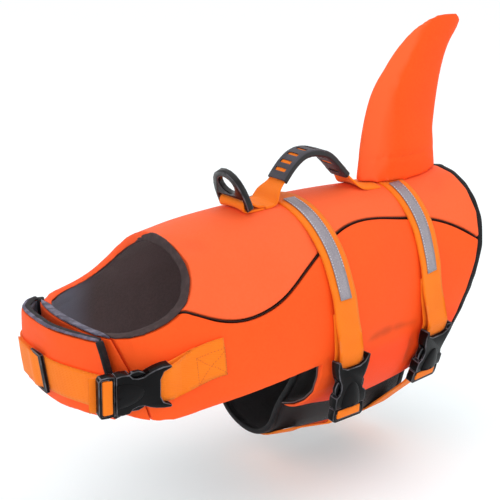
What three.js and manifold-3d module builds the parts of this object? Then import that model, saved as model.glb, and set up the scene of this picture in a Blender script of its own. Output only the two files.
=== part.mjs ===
// Dog life jacket: foam-filled back and side panels over a dark lining, a two-layer chest flap, a belly
// sling, webbing straps with side-release buckles, a grab handle, a leash ring and a foam fin.
// Millimetres. +X points to the tail, -Y to the wearer's left, +Z up.
// The origin is on the wearer's back: the inner face of the lining, on the centre line, under the handle.
import * as THREE from 'three';
import { mergeVertices } from 'three/addons/utils/BufferGeometryUtils.js';
import Module from 'manifold-3d';

const wasm = await Module();
wasm.setup();

// Wall of the jacket, as depths outward from the inner face of the lining
const WALL = 8;
const LINING = 1.2;
const FOAM_INSIDE = 2.2;
const THIN_LINING = [3.6, 4.8];
const THIN_INSIDE = 5.8;
const GAP = 0.35;
const NECK_BINDING = 2;
const REAR_BINDING = 6;
const PIPING = 1.3;

// Webbing and tapes
const WEB = { width: 27, thick: 1.6, lift: 0.5 };
const CHEST_WEB = 30;
const TAPE = { width: 13, thick: 0.5 };
const SPINE_WIDTH = 34;

// Sections of the body from the shoulders to the tail end: outer half width, height of the widest line,
// height of the top, heights where the left and right lower curves would close, and the power of its round
const BODY = [
  { x: -205, half: 79, widest: -106, top: -5, left: -180, right: -190, power: 2.1 },
  { x: -171, half: 84, widest: -106, top: 0, left: -180, right: -195, power: 2.1 },
  { x: -140, half: 89, widest: -109, top: 5.5, left: -180, right: -200, power: 2.1 },
  { x: -100, half: 93, widest: -111, top: 8, left: -180, right: -204, power: 2.1 },
  { x: -60, half: 94.5, widest: -112, top: 9, left: -175, right: -207, power: 2.1 },
  { x: -27, half: 94, widest: -112, top: 9, left: -182, right: -207, power: 2.1 },
  { x: 30, half: 87, widest: -112, top: 8, left: -190, right: -206, power: 2.05 },
  { x: 95, half: 76, widest: -110, top: 6, left: -188, right: -200, power: 2.0 },
  { x: 140, half: 71, widest: -92, top: 8, left: -180, right: -185, power: 2.0 },
  { x: 184, half: 68, widest: -67, top: 9, left: -160, right: -160, power: 2.0 },
];

// Plan of the chest strip from the side to the front centre line, at its widest height
const CHEST_PLAN = [
  { x: -205, y: 79 },
  { x: -218, y: 76 },
  { x: -228.5, y: 70 },
  { x: -236, y: 60 },
  { x: -240, y: 46 },
  { x: -242.5, y: 25 },
  { x: -243.5, y: 0 },
];
const CHEST_TILT = 0.16;
const FLAP_OUT = 21;
const FLAP_END_OUT = 12;
const FLAP_RAMP = { from: -212, to: -250 };

// Side-view outlines, x and z: the neck rim from the front up, the rear edge from the top down, the hem
// from the rear to the front, and the seam between side panel and chest flap
const NECK_RIM = [
  [-300, -53], [-262, -53], [-238, -54], [-220, -52], [-204, -49], [-191, -44.5], [-180, -38],
  [-172, -29], [-166.5, -19], [-164, -8], [-163, 3], [-163, 14], [-163, 40],
];
const REAR_EDGE = [
  [176, 40], [175, 8], [173, -28], [166, -58], [156.5, -81], [146, -102], [137.5, -120], [131, -136],
];
const HEM = [
  [125, -150], [100, -161], [78, -167], [27, -172], [-24, -173], [-46, -172], [-57, -168], [-59, -155],
  [-58.5, -132], [-58, -116], [-62, -113], [-110, -118], [-165, -125], [-200, -128], [-223, -123],
  [-240, -119], [-256, -122], [-300, -124],
];
const WING_SEAM = [[-246, -40], [-213, -142]];

// Angle of the piped seam from the top of the section, along the body
const PIPED_SEAM = [
  { x: -210, angle: 50 }, { x: -183, angle: 53 }, { x: -164, angle: 60 }, { x: -140, angle: 65 },
  { x: -105, angle: 63 }, { x: -89, angle: 60 }, { x: -66, angle: 52 }, { x: -41, angle: 44 },
  { x: -5, angle: 34 }, { x: 30, angle: 31.5 }, { x: 72, angle: 36 }, { x: 106, angle: 41 },
  { x: 136, angle: 52 }, { x: 158, angle: 67 }, { x: 184, angle: 82 },
];

// Belly sling: its middle line across the front edge, left to right, and how its width and sag change
// along the body
const SLING_THICK = 4;
const SLING_LINE = [
  { y: -66, z: -112 }, { y: -51, z: -142 }, { y: -30, z: -174 }, { y: -20, z: -197 }, { y: 0, z: -211 },
  { y: 27, z: -211 }, { y: 52, z: -198 }, { y: 66, z: -178 }, { y: 72, z: -150 },
];
const SLING_RUN = [
  { x: -57, width: 1, sag: 0 }, { x: -16, width: 0.98, sag: 7 }, { x: 47, width: 0.9, sag: 13 },
  { x: 112, width: 0.78, sag: 9 },
];

// Fin, as pairs of points on its front and rear edges from the base up, with half its thickness between them
const FIN = [
  { front: [62, -4], rear: [164, -4], half: 15 }, { front: [62.5, 14], rear: [164, 13], half: 15 },
  { front: [63.5, 37], rear: [161, 34], half: 14 }, { front: [68, 65], rear: [162.5, 57], half: 12.5 },
  { front: [75, 89], rear: [165.5, 80], half: 11 }, { front: [87, 107], rear: [169, 98], half: 9.5 },
  { front: [103, 125], rear: [173, 112], half: 8 }, { front: [120, 141], rear: [178, 125], half: 6.5 },
  { front: [140, 151], rear: [183, 134.5], half: 5 },
  { front: [157, 156.5], rear: [187, 141.5], half: 3.6 },
  { front: [172, 159], rear: [190, 147.5], half: 2.4 },
  { front: [183, 158], rear: [190.5, 152.5], half: 1.4 },
];

// Leash ring: its bar's axis, its lean towards the neck, and its outline as half width and height above
// the bar
const RING = { x: -79, z: 14.2, lean: 22, thick: 6.4, bar: 2.6, slot: [2.6, 7.4], barWidth: 34.8 };
const RING_OUTLINE = [
  [19, -4.5], [21.2, -3], [21.4, 4], [21, 10.5], [19.4, 17.5], [16.6, 24], [12.4, 29], [6.6, 32.3], [0, 33.2],
];
const RING_HOLE = { up: 19, across: 11, high: 8.6 };

// Loop of webbing round the ring's bar, and the handle's webbing: x, height above the back, and half width
const RING_LOOP = [
  [-60, 1.3], [-67, 1.3], [-74, 1.4], [-77, 1.6], [-79, 1.65], [-81.3, 2.4], [-82.7, 4.1], [-82.8, 6.3],
  [-81.4, 8.4], [-79, 9.3], [-76.6, 8.8], [-73.6, 7], [-70, 5], [-66, 3.6], [-60, 3.3],
];
const HANDLE = [
  [-58.5, 1.3, 17], [-52, 1.4, 17], [-47.5, 2.2, 17], [-44.8, 4.6, 16.8], [-42.8, 8, 15.5],
  [-39.5, 11.5, 12.8], [-35.8, 14.3, 10.6], [-32.4, 17.4, 10], [-26.2, 24.9, 10], [-20, 30.9, 10],
  [-12, 36.5, 10], [-3, 38.9, 10], [6.6, 38.4, 10], [14, 36.5, 10], [21, 33.6, 10], [30.4, 25, 10],
  [39, 16, 10], [43.5, 11.8, 10.6], [47, 8.2, 12.6], [50.5, 5, 15], [54.5, 2.8, 16.6], [60, 1.6, 17],
  [68, 1.3, 17], [78, 1.3, 17],
];
const GRIP = {
  from: 7, to: 16.6, width: 24, thick: 6.4, inside: 4.2, slots: 9, slotWidth: 14, slotLong: 2.6,
};

// Side-release buckle: outlines as half width and height from the middle, and depths from its back face
const BUCKLE_THICK = 9.5;
const BUCKLE_INSIDE = [2.4, 7.1];
const FEMALE = [
  [16.9, -15.5], [17.5, -11], [17, -4.5], [13.6, -1.8], [12.3, 2.7], [12.7, 7.7], [15, 12], [16.8, 17],
  [18.2, 23.5], [18.5, 29], [16.8, 29.6], [13.6, 27], [7.5, 25.4],
];
const MALE_FRAME = [[15, -29.2], [17.6, -27.4], [18, -22], [17.1, -16]];
const MALE_ARM = [
  [10.6, -16.5], [14.3, -16.5], [14.3, -5], [17, -1.4], [17.4, 4], [15.6, 8.2], [13.4, 10], [11.8, 6.4],
  [10.6, -1.8],
];
const BUCKLE_BAR = { low: 21, high: 24.6, deep: 3.6 };
const BUCKLE_SLOT = [-26.4, -21.4];

// Heights and depths of webbing round the female half's bar, and behind the male half's frame
const ROUND_BAR = [
  [33, 4.75], [28, 4.75], [22.2, 4.75], [20.2, 4.35], [19.3, 2.8], [19.3, 0.8], [20, -0.95],
  [22, -1.35], [28, -1.3], [33, -1.3],
];
const BEHIND_FRAME = [[-34, -1.4], [-30, -0.5], [-24, -0.4], [-18.5, -0.4]];

// Where the buckles are: middle of the back face, tilt of the lower end inward, turn to follow the side
const SIDE_BUCKLES = [
  { name: 'front', x: -33.5, y: -95, z: -137, tilt: 6, turn: 2 },
  { name: 'rear', x: 85, y: -74.5, z: -140, tilt: 17, turn: 7 },
];
const CHEST_BUCKLE = { origin: [-239, -76, -90], along: [0.97, -0.2, 0.02], lean: -0.1 };

// Slider on the chest strap: where it is along the outer flap, and its frame
const SLIDER = { at: -292, long: 18, high: 35, thick: 2.4, rail: 2.2 };

const SLING_SEWN = { from: 0.86, depth: THIN_LINING[0] - GAP - SLING_THICK / 2 - 3.2 };

const COLOURS = {
  coral: 0xff7043, orange: 0xff672e, fin: 0xff6118, webbing: 0xfd8a1a, tape: 0xa8a3aa, plastic: 0x19191c,
  binding: 0x5f5a69, black: 0x1c1b1e, lining: 0x463a3a, sling: 0x232024,
};

// Smooth interpolation in a table by one column against another
function smooth(table, key, at, column) {
  const last = table.length - 1;
  const x = THREE.MathUtils.clamp(at, table[0][key], table[last][key]);
  let i = 0;
  while (i < last - 1 && table[i + 1][key] <= x) i += 1;
  const slope = (k) => {
    const a = table[Math.max(k - 1, 0)];
    const b = table[Math.min(k + 1, last)];
    return (b[column] - a[column]) / (b[key] - a[key]);
  };
  const span = table[i + 1][key] - table[i][key];
  const t = (x - table[i][key]) / span;
  const rise = (3 - 2 * t) * t * t;
  return table[i][column] * (1 - rise) + table[i + 1][column] * rise
    + (t * (1 - t) * (1 - t)) * span * slope(i) - (t * t * (1 - t)) * span * slope(i + 1);
}

function range(from, to, steps) {
  return Array.from({ length: steps + 1 }, (_, i) => from + ((to - from) * i) / steps);
}

// A closed body between an outer and an inner grid of points
function wall(rows, columns, outer, inner) {
  const points = [];
  const faces = [];
  const width = columns.length;
  for (const side of [outer, inner]) {
    for (const a of rows) {
      for (const b of columns) points.push(side(a, b));
    }
  }
  const index = (side, i, j) => side * rows.length * width + i * width + j;
  const quad = (a, b, c, d) => faces.push(a, b, c, a, c, d);
  for (let i = 0; i < rows.length - 1; i += 1) {
    for (let j = 0; j < width - 1; j += 1) {
      quad(index(0, i, j), index(0, i + 1, j), index(0, i + 1, j + 1), index(0, i, j + 1));
      quad(index(1, i, j), index(1, i, j + 1), index(1, i + 1, j + 1), index(1, i + 1, j));
    }
  }
  for (let i = 0; i < rows.length - 1; i += 1) {
    quad(index(0, i, 0), index(1, i, 0), index(1, i + 1, 0), index(0, i + 1, 0));
    const last = width - 1;
    quad(index(0, i, last), index(0, i + 1, last), index(1, i + 1, last), index(1, i, last));
  }
  const end = rows.length - 1;
  for (let j = 0; j < width - 1; j += 1) {
    quad(index(0, 0, j), index(0, 0, j + 1), index(1, 0, j + 1), index(1, 0, j));
    quad(index(0, end, j), index(1, end, j), index(1, end, j + 1), index(0, end, j + 1));
  }
  return outwards(points, faces);
}

// A closed body through rings of points, with flat ends
function rings(list) {
  const points = list.flat();
  const count = list[0].length;
  const faces = [];
  for (let i = 0; i < list.length - 1; i += 1) {
    for (let j = 0; j < count; j += 1) {
      const a = i * count + j;
      const b = i * count + ((j + 1) % count);
      faces.push(a, b, b + count, a, b + count, a + count);
    }
  }
  for (let j = 1; j < count - 1; j += 1) {
    const base = (list.length - 1) * count;
    faces.push(0, j + 1, j, base, base + j, base + j + 1);
  }
  return outwards(points, faces);
}

// Turns the faces of a closed body so that they point out
function outwards(points, faces) {
  let volume = 0;
  for (let i = 0; i < faces.length; i += 3) {
    const [a, b, c] = [points[faces[i]], points[faces[i + 1]], points[faces[i + 2]]];
    volume += a.dot(new THREE.Vector3().crossVectors(b, c));
  }
  if (volume < 0) {
    for (let i = 0; i < faces.length; i += 3) [faces[i], faces[i + 1]] = [faces[i + 1], faces[i]];
  }
  const geometry = new THREE.BufferGeometry().setFromPoints(points);
  geometry.setIndex(faces);
  return geometry;
}

function toSolid(geometry) {
  const plain = geometry.clone();
  plain.deleteAttribute('normal');
  plain.deleteAttribute('uv');
  const merged = mergeVertices(plain, 1e-4);
  return new wasm.Manifold(new wasm.Mesh({
    numProp: 3,
    vertProperties: new Float32Array(merged.attributes.position.array),
    triVerts: new Uint32Array(merged.index.array),
  }));
}

// The largest closed body of a solid, as a geometry
function toGeometry(solid) {
  const pieces = solid.decompose();
  pieces.sort((a, b) => b.volume() - a.volume());
  const mesh = pieces[0].getMesh();
  const geometry = new THREE.BufferGeometry();
  geometry.setAttribute('position', new THREE.BufferAttribute(new Float32Array(mesh.vertProperties), 3));
  geometry.setIndex(Array.from(mesh.triVerts));
  return geometry;
}

// A block as wide as the jacket whose side view is a closed outline
function sideBlock(outline) {
  const reach = 150;
  const shape = new THREE.Shape(outline.map(([x, z]) => new THREE.Vector2(x, z)));
  const block = new THREE.ExtrudeGeometry(shape, { depth: 2 * reach, bevelEnabled: false });
  block.rotateX(Math.PI / 2);
  block.translate(0, reach, 0);
  return toSolid(block);
}

function line(points, samples) {
  const curve = new THREE.SplineCurve(points.map(([x, z]) => new THREE.Vector2(x, z)));
  return curve.getPoints(samples).map((p) => [p.x, p.y]);
}

// Moves an open outline to its left by a distance
function moved(outline, distance) {
  return outline.map(([x, z], i) => {
    const a = outline[Math.max(i - 1, 0)];
    const b = outline[Math.min(i + 1, outline.length - 1)];
    const length = Math.hypot(b[0] - a[0], b[1] - a[1]);
    return [x - ((b[1] - a[1]) / length) * distance, z + ((b[0] - a[0]) / length) * distance];
  });
}

// Where the chest strip is in plan, by its distance round the front from the first body section
const chestCurve = new THREE.SplineCurve([
  ...CHEST_PLAN.map((p) => new THREE.Vector2(p.x, p.y)),
  ...CHEST_PLAN.slice(0, -1).reverse().map((p) => new THREE.Vector2(p.x, -p.y)),
]);
const FRONT = BODY[0].x;
const CHEST_ROUND = chestCurve.getLength();

function planPoint(s) {
  if (s >= FRONT) return { x: s, half: smooth(BODY, 'x', s, 'half'), outX: 0, outY: 1 };
  const u = Math.min((FRONT - s) / CHEST_ROUND, 1);
  const p = chestCurve.getPointAt(u);
  const t = chestCurve.getTangentAt(u);
  return { x: p.x, half: p.y, outX: t.y, outY: -t.x };
}

// A point of the jacket's wall: s along the body, angle round the section from the top, depth from the
// inner face
function skin(s, degrees, depth, side, out = 0) {
  const angle = THREE.MathUtils.degToRad(Math.abs(degrees));
  const beyond = depth - WALL;
  const plan = planPoint(s);
  const power = 2 / smooth(BODY, 'x', s, 'power');
  const widest = smooth(BODY, 'x', s, 'widest');
  const cosine = Math.cos(angle);
  const close = cosine >= 0 ? 'top' : (side < 0 ? 'left' : 'right');
  const rise = Math.abs(smooth(BODY, 'x', s, close) - widest) + beyond;
  const across = Math.sin(angle) ** power;
  const z = widest + Math.sign(cosine) * rise * Math.abs(cosine) ** power;
  const tilt = CHEST_TILT * THREE.MathUtils.smoothstep(FRONT - s, 0, 60);
  return new THREE.Vector3(
    plan.x + plan.outX * (beyond + out) * across - tilt * (z - widest),
    side * across * (plan.half + plan.outY * (beyond + out)),
    z,
  );
}

// Section angle that lies a few millimetres further round the section
function further(s, degrees, side, distance) {
  const step = skin(s, degrees, WALL, side).distanceTo(skin(s, degrees + 1, WALL, side));
  return degrees + distance / step;
}

// Section angle of a height on the wall
function angleAt(s, z, side) {
  const widest = smooth(BODY, 'x', s, 'widest');
  const close = smooth(BODY, 'x', s, z > widest ? 'top' : (side < 0 ? 'left' : 'right'));
  const share = Math.min(Math.abs((z - widest) / (close - widest)), 1);
  const cosine = Math.sign(z - widest) * share ** (smooth(BODY, 'x', s, 'power') / 2);
  return THREE.MathUtils.radToDeg(Math.acos(cosine));
}

// Height of the wall's back over a point of the plan
function backHeight(x, y, depth) {
  const beyond = depth - WALL;
  const power = smooth(BODY, 'x', x, 'power');
  const widest = smooth(BODY, 'x', x, 'widest');
  const share = 1 - (Math.abs(y) / (smooth(BODY, 'x', x, 'half') + beyond)) ** power;
  return widest + (smooth(BODY, 'x', x, 'top') - widest + beyond) * share ** (1 / power);
}

const group = new THREE.Group();

function add(name, geometry, colour, roughness = 0.8) {
  geometry.deleteAttribute('uv');
  geometry.computeVertexNormals();
  const material = new THREE.MeshStandardMaterial({ color: colour, roughness, metalness: 0 });
  const mesh = new THREE.Mesh(geometry, material);
  mesh.name = name;
  group.add(mesh);
  return mesh;
}

const SIDES = [{ name: 'left', side: -1 }, { name: 'right', side: 1 }];

// What is kept of the walls in side view: behind the neck binding, ahead of the rear binding and above
// the hem
const neck = line(NECK_RIM, 30);
const rear = line(REAR_EDGE, 14);
const hem = line(HEM, 34);
const keepWalls = sideBlock([
  ...moved(neck, -NECK_BINDING - GAP), ...moved(rear, -REAR_BINDING - GAP), ...hem,
]);
const neckBand = sideBlock([...neck, ...moved(neck, -NECK_BINDING).reverse()]);
const rearBand = sideBlock([...rear, ...moved(rear, -REAR_BINDING).reverse()]);
const seamSide = (distance) => moved(WING_SEAM, distance);
const behindSeam = sideBlock([...seamSide(GAP / 2), [-213, -300], [200, -300], [200, 100], [-246, 100]]);
const aheadOfSeam = sideBlock([...seamSide(-GAP / 2), [-213, -300], [-320, -300], [-320, 100], [-246, 100]]);

const bodyColumns = range(-201, 186, 17);
const sideColumns = [-266, -252, -240, -229, -218, -210, ...bodyColumns];
const seamAngle = (s) => smooth(PIPED_SEAM, 'x', s, 'angle');
const lowAngle = (s) => 122 + 34 * THREE.MathUtils.smoothstep(s, -125, -75);
// The foam ends on a line below the widest height, and under it the panel is a thin flap
const thin = (s, degrees) => {
  return THREE.MathUtils.smoothstep(degrees, 98, 112) * THREE.MathUtils.smoothstep(s, -100, -66);
};
const foamInside = (s, degrees) => THREE.MathUtils.lerp(FOAM_INSIDE, THIN_INSIDE, thin(s, degrees));
const liningFace = (face, s, degrees) => {
  const thick = face * LINING;
  return THREE.MathUtils.lerp(thick, THIN_LINING[face], thin(s, degrees));
};

// Rows of the walls round the section: up to 1 on the back panel, and from there to 2 on the side panel
const seamHalf = PIPING / 2 + GAP;
const rowAngle = (row, s, side) => {
  if (row <= 1) return further(s, seamAngle(s), side, -seamHalf) * row;
  return THREE.MathUtils.lerp(further(s, seamAngle(s), side, seamHalf), lowAngle(s), row - 1);
};
const backRows = range(0, 1, 4);
const sideRows = range(1.0001, 2, 8);

// Back panel: foam between two cloths, from piped seam to piped seam
{
  const at = (depth) => (row, s) => {
    const side = row < 0 ? -1 : 1;
    return skin(s, rowAngle(Math.abs(row), s, side), depth, side);
  };
  const rows = [...backRows.slice(1).map((row) => -row).reverse(), ...backRows];
  const panel = wall(rows, bodyColumns, at(WALL), at(FOAM_INSIDE));
  add('back_panel', toGeometry(toSolid(panel).intersect(keepWalls)), COLOURS.coral);
}

// Side panels and the piping in their top seams
for (const { name, side } of SIDES) {
  const at = (depth) => (row, s) => {
    const degrees = rowAngle(row, s, side);
    return skin(s, degrees, depth(s, degrees), side);
  };
  const rows = side < 0 ? sideRows.slice().reverse() : sideRows;
  const panel = wall(rows, sideColumns, at(() => WALL), at(foamInside));
  const kept = toSolid(panel).intersect(keepWalls).intersect(behindSeam);
  add(`side_panel_${name}`, toGeometry(kept), COLOURS.orange);
  const cordAt = (depth) => (share, s) => {
    return skin(s, further(s, seamAngle(s), side, (share * PIPING) / 2), depth, side);
  };
  const cord = wall([-1, 1], bodyColumns, cordAt(WALL + 0.1), cordAt(FOAM_INSIDE));
  add(`piping_${name}`, toGeometry(toSolid(cord).intersect(keepWalls)), COLOURS.black, 0.6);
}

// Lining of back and sides, one dark shell
{
  const at = (face) => (row, s) => {
    const side = row < 0 ? -1 : 1;
    const degrees = rowAngle(Math.abs(row), s, side);
    return skin(s, degrees, liningFace(face, s, degrees), side);
  };
  const half = [...backRows.slice(1), ...sideRows.slice(1)];
  const lining = wall([...half.map((row) => -row).reverse(), 0, ...half], sideColumns, at(1), at(0));
  const kept = toSolid(lining).intersect(keepWalls).intersect(behindSeam);
  add('lining', toGeometry(kept), COLOURS.lining, 0.7);
}

// Bindings over the neck rim and the rear edge
{
  const at = (depth) => (degrees, s) => {
    const side = degrees < 0 ? -1 : 1;
    return skin(s, Math.abs(degrees), depth, side);
  };
  const neckColumns = [...sideColumns.slice(0, 6), ...range(-201, -130, 5)];
  const neckShell = wall(range(-90, 90, 18), neckColumns, at(WALL), at(0));
  const neckBinding = toSolid(neckShell).intersect(neckBand).intersect(behindSeam);
  add('neck_binding', toGeometry(neckBinding), COLOURS.binding);
  const rearShell = wall(range(-150, 150, 20), [130, 158, 186], at(WALL), at(2.5));
  add('rear_binding', toGeometry(toSolid(rearShell).intersect(rearBand)), COLOURS.black);
}

// Chest flaps: the left one lies inside, the right one ramps out over it and ends at the left front corner
const flapAngles = [56, 66, 76, 86, 96, 106, 116];
function chestFlap(name, side, out, from, to, steps, colour) {
  const columns = range(from, to, steps);
  const shell = (outer, inner) => toSolid(wall(flapAngles, columns, (d, s) => skin(s, d, outer, side, out(s)),
    (d, s) => skin(s, d, inner, side, out(s)))).intersect(aheadOfSeam);
  add(`chest_flap_${name}`, toGeometry(shell(WALL, FOAM_INSIDE).intersect(keepWalls)), colour);
  add(`flap_lining_${name}`, toGeometry(shell(LINING, 0).intersect(keepWalls)), COLOURS.lining, 0.7);
  add(`flap_binding_${name}`, toGeometry(shell(WALL, 0).intersect(neckBand)), COLOURS.binding);
}
const flapOut = (s) => {
  const out = FLAP_OUT * THREE.MathUtils.smoothstep(-s, -FLAP_RAMP.from, -FLAP_RAMP.to);
  const drawnIn = THREE.MathUtils.smoothstep(-s, -FRONT + CHEST_ROUND * 0.5, -rightEnd);
  return out - (FLAP_OUT - FLAP_END_OUT) * drawnIn;
};
const leftEnd = FRONT - CHEST_ROUND * 0.83;
const rightEnd = FRONT - CHEST_ROUND * 0.8;
chestFlap('left', -1, () => 0, -206, leftEnd, 13, COLOURS.orange);
chestFlap('right', 1, flapOut, -206, rightEnd, 14, COLOURS.orange);

// Small stitched tape inside the back of the neck
{
  const at = (depth) => (y, x) => new THREE.Vector3(x, y, backHeight(x, y, depth));
  add('neck_tape', wall([-12, 0, 12], [-153, -142], at(-1.5), at(-2.3)), COLOURS.black);
}

// Belly sling: a padded U that is sewn inside the right hem and is pulled up by the belly straps
const slingCurve = new THREE.SplineCurve(SLING_LINE.map((p) => new THREE.Vector2(p.y, p.z)));
function slingPoint(x, t) {
  const width = smooth(SLING_RUN, 'x', x, 'width');
  const p = slingCurve.getPoint(t);
  const drop = smooth(SLING_RUN, 'x', x, 'sag') * Math.sin(Math.PI * t) ** 2;
  const z = THREE.MathUtils.lerp(-170, -148, (t - SLING_SEWN.from) / (1 - SLING_SEWN.from));
  const sewn = skin(x, angleAt(x, z, 1), SLING_SEWN.depth, 1);
  const share = THREE.MathUtils.smoothstep(t, SLING_SEWN.from - 0.14, SLING_SEWN.from);
  return new THREE.Vector2(p.x * width, p.y - drop).lerp(new THREE.Vector2(sewn.y, sewn.z), share);
}
function sling(x, t, depth) {
  const p = slingPoint(x, t);
  const step = 0.01;
  const [from, to] = [slingPoint(x, Math.max(t - step, 0)), slingPoint(x, Math.min(t + step, 1))];
  const d = to.sub(from).normalize();
  return new THREE.Vector3(x, p.x + d.y * depth, p.y - d.x * depth);
}
{
  const edge = 0.5 * SLING_THICK;
  const at = (depth) => (t, x) => sling(x, t, depth);
  const inset = REAR_BINDING + GAP;
  const across = range(0, 1, 18);
  const along = range(-57 + inset, 112 - inset, 7);
  add('belly_sling', wall(across, along, at(edge), at(-edge)), COLOURS.sling);
  const bind = edge + 0.8;
  const frontEdge = wall(across, [-57, -57 + REAR_BINDING], at(bind), at(-bind));
  const rearEdge = wall(across, [112 - REAR_BINDING, 112], at(bind), at(-bind));
  add('sling_binding_front', frontEdge, COLOURS.black);
  add('sling_binding_rear', rearEdge, COLOURS.black);
}

// Frame of a buckle: across its width, along it towards the female end, and out from its back face
function buckleFrame(origin, along, out) {
  const v = new THREE.Vector3(...along).normalize();
  const u = new THREE.Vector3().crossVectors(v, new THREE.Vector3(...out)).normalize();
  const w = new THREE.Vector3().crossVectors(u, v);
  return new THREE.Matrix4().makeBasis(u, v, w).setPosition(...origin);
}

// A flat plate between two depths, from an outline
function plate(outline, from, to) {
  const shape = new THREE.Shape(outline.map(([x, y]) => new THREE.Vector2(x, y)));
  const body = new THREE.ExtrudeGeometry(shape, { depth: to - from, bevelEnabled: false });
  body.translate(0, 0, from);
  return toSolid(body);
}
const bothHalves = (half) => [...half, ...half.map(([x, y]) => [-x, y]).reverse()];
const block = (half, low, high, from, to) => {
  return plate([[half, low], [half, high], [-half, high], [-half, low]], from, to);
};

function placed(solid, frame) {
  const geometry = toGeometry(solid);
  geometry.applyMatrix4(frame);
  return geometry;
}

// Side-release buckle: the female half turns the webbing round a bar, the male half has a frame and two arms
function addBuckle(name, frame, web) {
  const pass = web / 2 + 0.5;
  const [inside, outside] = BUCKLE_INSIDE;
  const behindLip = BUCKLE_BAR.deep + WEB.thick + 2 * GAP;
  const female = plate(bothHalves(FEMALE), 0, BUCKLE_THICK)
    .subtract(block(14.9, -17, -3.6, inside, outside))
    .subtract(block(24, -4.6, 11.8, inside, outside))
    .subtract(block(pass, 17, 40, -1, behindLip))
    .add(block(pass + 1, BUCKLE_BAR.low, BUCKLE_BAR.high, 0, BUCKLE_BAR.deep));
  add(`buckle_female_${name}`, placed(female, frame), COLOURS.plastic, 0.35);
  const [low, high] = [inside + 0.5, outside - 0.5];
  const arm = plate(MALE_ARM, low, high);
  const male = plate(bothHalves(MALE_FRAME), 0.8, 8.2)
    .subtract(block(pass, ...BUCKLE_SLOT, 0, BUCKLE_THICK))
    .add(block(5.5, -17, 10, low, high))
    .add(arm)
    .add(arm.mirror([1, 0, 0]));
  add(`buckle_male_${name}`, placed(male, frame), COLOURS.plastic, 0.35);
}

// Webbing through rows of points, each row across the width at one place of its length
function webbing(rows, across = [-0.5, 0, 0.5]) {
  const face = (half) => (row, share) => row(share, half);
  return wall(rows, across, face(WEB.thick / 2), face(-WEB.thick / 2));
}

// Rows of webbing that follow a path of heights and depths in a buckle's frame
function buckleRows(frame, path, width) {
  const faces = [moved(path, 0), moved(path, 1)];
  return path.map((_, i) => (share, half) => {
    const [from, to] = [faces[0][i], faces[1][i]];
    const [v, w] = [from[0] + (to[0] - from[0]) * half, from[1] + (to[1] - from[1]) * half];
    return new THREE.Vector3(share * width, v, w).applyMatrix4(frame);
  });
}

// Back straps: over the back, down to the female half on the left, round its bar and back up behind
// themselves
const STRAPS = [
  { name: 'front', x: -27, lean: -5, joins: [-68, -80, -90], lowRight: -158, tapeLow: -62, tapeTop: 5 },
  { name: 'rear', x: 96, lean: -10, joins: [-66, -78, -88], lowRight: -150, tapeLow: -66, tapeTop: 11 },
];
STRAPS.forEach(({ name, x, lean, joins, lowRight, tapeLow, tapeTop }, i) => {
  const { x: bx, y: by, z: bz, tilt, turn } = SIDE_BUCKLES[i];
  const [tip, yaw] = [THREE.MathUtils.degToRad(tilt), THREE.MathUtils.degToRad(turn)];
  const out = [-Math.sin(yaw) * Math.cos(tip) * -1, -Math.cos(yaw) * Math.cos(tip), -Math.sin(tip)];
  const along = [Math.sin(yaw) * Math.sin(tip), -Math.cos(yaw) * Math.sin(tip), Math.cos(tip)];
  const frame = buckleFrame([bx, by, bz], along, out);
  addBuckle(name, frame, WEB.width);

  const middle = WALL + WEB.lift + WEB.thick / 2;
  const doubled = WEB.thick + GAP;
  const raisedAt = (z) => doubled * THREE.MathUtils.smoothstep(-z, 44, 64);
  const leanAt = (z) => lean * THREE.MathUtils.smoothstep(-z, 20, 100);
  const skinRow = (z, side, raised) => (share, half) => {
    const place = x + share * WEB.width + (side < 0 ? leanAt(z) : 0);
    return skin(place, angleAt(place, z, side), middle + raised + half, side);
  };
  const topRow = (degrees) => (share, half) => {
    return skin(x + share * WEB.width, Math.abs(degrees), middle + half, degrees < 0 ? -1 : 1);
  };
  const rightLow = angleAt(x, lowRight, 1);
  const leftTop = angleAt(x, -28, -1);
  const rows = [
    ...range(rightLow, -leftTop, 22).map(topRow),
    ...[-36, -44, -49, -54, -59, -64].map((z) => skinRow(z, -1, raisedAt(z))),
    ...joins.map((z, k) => skinRow(z, -1, [doubled, doubled + 0.6, doubled + 3][k])),
    ...buckleRows(frame, ROUND_BAR, WEB.width),
    ...[joins[2] + 2, joins[1], joins[0] - 3].map((z) => skinRow(z, -1, 0)),
  ];
  add(`back_strap_${name}`, webbing(rows), COLOURS.webbing);

  const tapeFrom = middle + WEB.thick / 2 + GAP + 0.1;
  for (const { name: sideName, side } of SIDES) {
    const far = angleAt(x, tapeLow, side);
    const at = (depth) => (degrees, share) => {
      const z = skin(x, degrees, WALL, side).z;
      const place = x + share * TAPE.width + (side < 0 ? leanAt(z) : 0);
      return skin(place, degrees, depth + (side < 0 ? raisedAt(z) : 0), side);
    };
    const tape = wall(range(tapeTop, far, 10), [-0.5, 0.5], at(tapeFrom + TAPE.thick), at(tapeFrom));
    add(`reflective_tape_${name}_${sideName}`, tape, COLOURS.tape, 0.35);
  }

  // Belly strap: from the male half under the sling to its right side
  const under = SLING_THICK / 2 + 0.8 + GAP + WEB.thick / 2;
  const slingRow = (t) => (share, half) => sling(bx + share * WEB.width, t, under - half);
  const bellyRows = [...buckleRows(frame, BEHIND_FRAME.slice().reverse(), WEB.width),
    ...[0.4, 0.46, 0.52, 0.58, 0.64, 0.7].map(slingRow)];
  add(`belly_strap_${name}`, webbing(bellyRows), COLOURS.webbing);
});

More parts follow.
